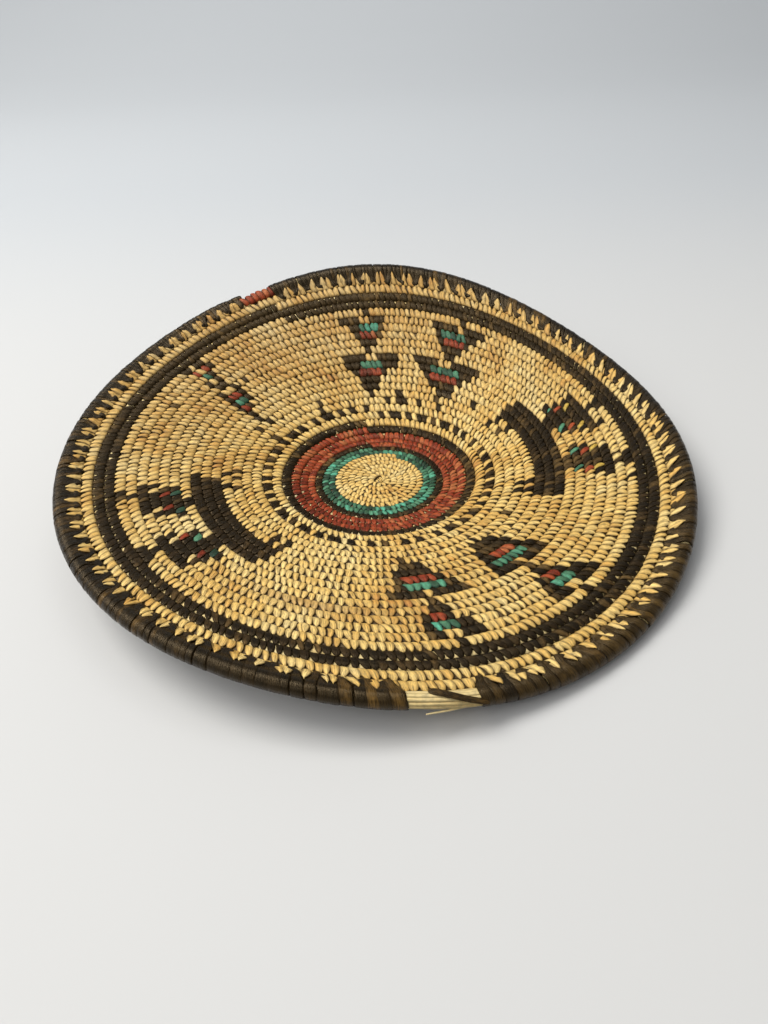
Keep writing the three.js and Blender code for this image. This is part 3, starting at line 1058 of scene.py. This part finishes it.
def rim_splints(name, groups, nodes):
    """The dark splints that wind one stretch of the rim, in groups that share a hole."""
    at, offsets, shares, narrowing = [], [], [], []
    for middle in groups:
        count = rim_splint_count((middle % 1) * 360)
        at += [middle] * count
        offsets += [(k + 0.5) / count - 0.5 for k in range(count)]
        shares += [RIM_OVERLAP / count] * count
        narrowing += [3 / count] * count
    at = np.array(at)
    count = len(at)

    def vary(amount, columns=1):
        return RANDOM.normal(0, amount, (count, columns))

    path_across, path_up, spread, broad = RIM_PATH.T
    group_size = 2 * math.pi * (edge_radius(at)[:, None] + RIM_WIDTH / 2) / RIM_GROUPS_PER_TURN
    fan = np.array(offsets)[:, None] * group_size
    width = np.array(shares)[:, None] * group_size * (1 + vary(0.16))
    full = rim_fullness(at)[:, None]
    on_bundle = path_across > RIM_BUNDLE_FROM
    across = np.where(on_bundle, path_across * full, path_across + RIM_WIDTH / 2 * (1 - full))
    across = across + vary(0.35) * (path_across < RIM_ANCHOR_TO)
    up = np.where(on_bundle, path_up * full, path_up) + vary(0.12)
    lean = slant_tangent(at)[:, None] * RIM_LEAN_SHARE
    shift = fan * spread - (across - RIM_LEAN_FROM) * lean + vary(0.3) * spread
    share = broad ** np.array(narrowing)[:, None]
    half_width = share * width / 2 * (1 + vary(0.05, len(RIM_PATH)))
    thickness = RIM_SPLINT_THICKNESS * (1 + vary(0.15)) * np.ones(len(RIM_PATH))
    from_olive = ((at % 1) * 360 - OLIVE_SIDE) / OLIVE_REACH
    olive = OLIVE_SHARE * np.exp(-(from_olive**2)) * RANDOM.random(count)
    # Painted shade where the splints gather into their anchor hole.
    depth = np.clip(0.34 - spread, 0, 0.3) * 1.5
    path = (across, up, shift)
    sewn_with = (RIM_DARK, "rim_wrap")
    return splint_loops(name, at, path, half_width, thickness, depth, on_rim, olive, sewn_with, nodes)


def stub_wrap():
    """The red splints around the end of the toothed coil, a little outside its own row."""
    count = STUB_SPLINTS
    at = np.linspace(TURN_STUB - 0.002, TURN_RIM + 0.003, count)
    gap = np.full(count, at[1] - at[0])
    path = STITCH_PATH.copy()
    path[:, 0] = STUB_OUT + path[:, 0] * STUB_GROWTH
    path[:, 1] = STUB_UP + path[:, 1] * STUB_GROWTH
    path[:, 2] = 0.4 + 0.6 * path[:, 2]
    stain = np.full(count, 0.15)
    stitch_loops(
        "red_stub_wrap", at, gap, np.zeros(count), stain, SEWN_WITH["red"], ["red_wrapped_stub"], path
    )


stub_wrap()
rim_splints("rim_splints_right", groups_right, ["rim_wrap_right"])
rim_splints("rim_splints_left", groups_left, ["rim_wrap_left"])


def curve_through(control, steps):
    """Points of a smooth curve through control points, with some steps between each two."""
    padded = np.concatenate([[2 * control[0] - control[1]], control, [2 * control[-1] - control[-2]]])
    path = []
    for k in range(1, len(padded) - 2):
        p0, p1, p2, p3 = padded[k - 1:k + 3]
        for t in np.arange(steps) / steps:
            straight = 2 * p1 + (p2 - p0) * t
            bend = (2 * p0 - 5 * p1 + 4 * p2 - p3) * t**2 + (3 * p1 - p0 - 3 * p2 + p3) * t**3
            path.append(0.5 * (straight + bend))
    path.append(control[-1])
    return np.array(path)


STRAND_SIDES = 10
STRAND_STEPS = 8
STRAND_TAPER_STEPS = 4
STRAND_TIP_SHARE = 0.35
STRAND_SIDE_SHADE = 0.8


def strand(name, points, half_width, half_thickness, material, slot, nodes):
    """A strand through (turn, across, up) points of the rim, with an oval section."""
    path = curve_through(np.array([on_rim(*p) for p in points]), STRAND_STEPS)
    tangent = np.gradient(path, axis=0)
    tangent /= np.linalg.norm(tangent, axis=1)[:, None]
    side = np.cross(tangent, np.array([0, 0, 1.0]))
    side /= np.linalg.norm(side, axis=1)[:, None]
    raised = np.cross(side, tangent)
    angle = np.arange(STRAND_SIDES) * 2 * math.pi / STRAND_SIDES
    station = np.arange(len(path))
    from_end = np.minimum(station + 1.5, len(path) - station + 0.5)
    taper = np.clip(from_end / STRAND_TAPER_STEPS, 0, 1)[:, None, None]
    ring = (
        side[:, None] * (np.cos(angle) * half_width)[None, :, None]
        + raised[:, None] * (np.sin(angle) * half_thickness)[None, :, None]
    )
    surface = path[:, None] + ring * (STRAND_TIP_SHARE + (1 - STRAND_TIP_SHARE) * taper)
    along = np.concatenate([[0], np.cumsum(np.linalg.norm(np.diff(path, axis=0), axis=1))])
    flat = surface[..., 0]
    splint = stack_like(flat, np.cos(angle) * half_width, along[:, None], RANDOM.random())
    # Painted shade along the strand's two sides.
    stain_and_shade = stack_like(flat, 0.0, np.abs(np.cos(angle)) * STRAND_SIDE_SHADE, 0.0)
    quads = grid_quads(1, len(path), STRAND_SIDES, False, True)
    caps = ring_caps(len(path), STRAND_SIDES)
    return build_mesh(name, surface, quads[:, ::-1], caps, splint, stain_and_shade, material, slot, nodes)


def bare_stems():
    """Stems side by side in the bare place, and one bundle for the rest of the rim."""
    coil_bundle(
        "rim_bundle", TURN_RIM + 0.002, TURN_RIM_END - 0.002, ["rim_stems"],
        place=on_rim, half=(RIM_WIDTH / 2, RIM_HEIGHT / 2), inset=RIM_BUNDLE_INSET,
    )
    start = TURN_BARE_FROM - 0.003
    end = TURN_BARE_TO + 0.002
    lanes = [(-2.9, 1.3), (-1.7, 2.6), (0.0, 3.1), (1.7, 2.7), (2.9, 1.4), (3.2, -0.3)]
    for number, (across, up) in enumerate(lanes):
        wander = RANDOM.normal(0, 0.12, (6, 2))
        points = [
            (turn, across + wander[k, 0], up + wander[k, 1])
            for k, turn in enumerate(np.linspace(start, end, 6))
        ]
        size = 1.05 + 0.2 * RANDOM.random()
        strand(f"bare_stem_{number + 1}", points, size, size * 0.75, BARE, "bare_stems", ["rim_stems"])


bare_stems()
strand(
    "loose_splint_strip",
    [
        (TURN_BARE_TO - 0.010, -2.6, 4.0), (TURN_BARE_TO - 0.016, -0.2, 4.6),
        (TURN_BARE_FROM + 0.005, 3.0, 4.1), (TURN_BARE_FROM - 0.003, 4.9, 2.6),
    ],
    1.9, 0.35, RIM_DARK, "dark_coil", ["loose_splint"],
)
strand(
    "sprung_stem",
    [
        (TURN_BARE_FROM + 0.003, 3.2, -0.6), (TURN_BARE_FROM + 0.011, 4.3, -1.5),
        (TURN_BARE_TO - 0.008, 5.8, -2.4),
    ],
    0.55, 0.4, BARE, "bare_stems", ["loose_stem"],
)

# ---- floor, light and camera


# The far colour is painted shade: the floor darker and greyer towards the back.
FLOOR_NEAR = srgb(0.775, 0.773, 0.764)
FLOOR_FAR_SHADED = srgb(0.715, 0.727, 0.735)
FLOOR_FAR_FROM = 0.8
FLOOR_ROUGHNESS = 0.8
FLOOR_FRONT = -3.0
FLOOR_HALF_WIDTH = 5.0
BEND_FROM = 1.5
BEND_RADIUS = 2.0
BEND_STEPS = 12
WALL_TOP = 5.0


def floor_paper():
    """Matt off-white paper, painted a little darker and greyer towards the back as the shade where less light
    reaches.
    """
    material = bpy.data.materials.new("floor_paper")
    material.use_nodes = True
    tree = material.node_tree
    shader = tree.nodes["Principled BSDF"]
    place = tree.nodes.new("ShaderNodeTexCoord")
    parts = tree.nodes.new("ShaderNodeSeparateXYZ")
    tree.links.new(place.outputs["Object"], parts.inputs[0])
    shade = tree.nodes.new("ShaderNodeMapRange")
    shade.interpolation_type = "SMOOTHSTEP"
    shade.inputs["From Min"].default_value = 0.0
    shade.inputs["From Max"].default_value = FLOOR_FAR_FROM
    tree.links.new(parts.outputs[1], shade.inputs["Value"])
    tree.links.new(mix(tree, "MIX", shade.outputs[0], FLOOR_NEAR, FLOOR_FAR_SHADED), shader.inputs["Base Color"])
    shader.inputs["Roughness"].default_value = FLOOR_ROUGHNESS
    return material


def floor():
    """A pale floor that curves up into a backdrop far behind the tray."""
    rows = [(FLOOR_FRONT, 0.0), (BEND_FROM, 0.0)]
    for k in range(1, BEND_STEPS + 1):
        angle = math.pi / 2 * k / BEND_STEPS
        rows.append((BEND_FROM + BEND_RADIUS * math.sin(angle), BEND_RADIUS * (1 - math.cos(angle))))
    rows.append((BEND_FROM + BEND_RADIUS, WALL_TOP))
    points = [(x, y, z) for y, z in rows for x in (-FLOOR_HALF_WIDTH, FLOOR_HALF_WIDTH)]
    faces = [(2 * k, 2 * k + 1, 2 * k + 3, 2 * k + 2) for k in range(len(rows) - 1)]
    mesh = bpy.data.meshes.new("floor")
    mesh.from_pydata(points, [], faces)
    for polygon in mesh.polygons:
        polygon.use_smooth = True
    piece = bpy.data.objects.new("floor", mesh)
    bpy.context.scene.collection.objects.link(piece)
    mesh.materials.append(floor_paper())


def area_light(name, place, target, size, power, color):
    light = bpy.data.lights.new(name, "AREA")
    light.shape = "DISK"
    light.size = size
    light.energy = power
    light.color = color
    lamp = bpy.data.objects.new(name, light)
    bpy.context.scene.collection.objects.link(lamp)
    lamp.location = place
    lamp.rotation_euler = (Vector(target) - Vector(place)).to_track_quat("-Z", "Y").to_euler()


def world_light(strength, color):
    world = bpy.data.worlds.new("studio")
    bpy.context.scene.world = world
    world.use_nodes = True
    background = world.node_tree.nodes["Background"]
    background.inputs["Color"].default_value = (*color, 1)
    background.inputs["Strength"].default_value = strength


CAMERA_TARGET = Vector((1.2, -35.7, 4.5)) * MM
CAMERA_DISTANCE = 469.9 * MM
CAMERA_ELEVATION = math.radians(38.06)
CAMERA_ROLL = math.radians(-2.4)
CAMERA_LENS = 26.39


def camera():
    back = Vector((0, -math.cos(CAMERA_ELEVATION), math.sin(CAMERA_ELEVATION)))
    right = Vector((1, 0, 0))
    up = back.cross(right)
    x_axis = right * math.cos(CAMERA_ROLL) + up * math.sin(CAMERA_ROLL)
    y_axis = up * math.cos(CAMERA_ROLL) - right * math.sin(CAMERA_ROLL)
    data = bpy.data.cameras.new("camera")
    data.lens = CAMERA_LENS
    data.sensor_width = 36
    data.sensor_fit = "AUTO"
    data.clip_start = 0.01
    data.clip_end = 50
    eye = bpy.data.objects.new("camera", data)
    bpy.context.scene.collection.objects.link(eye)
    rotation = Matrix((x_axis, y_axis, back)).transposed().to_4x4()
    eye.matrix_world = Matrix.Translation(CAMERA_TARGET + back * CAMERA_DISTANCE) @ rotation
    bpy.context.scene.camera = eye


floor()
area_light("key", (-1.4, 0.3, 2.35), (0, 0, 0), 1.7, 66, (1.0, 0.985, 0.96))
area_light("fill", (-1.5, -1.2, 1.9), (0, 0, 0), 1.9, 27, (0.98, 0.985, 1.0))
area_light("backdrop", (0.0, 1.2, 3.0), (0, 3.2, 0.9), 2.5, 36, (0.97, 0.98, 1.0))
world_light(0.35, (0.97, 0.98, 1.0))
bpy.context.scene.view_settings.view_transform = "Standard"
camera()
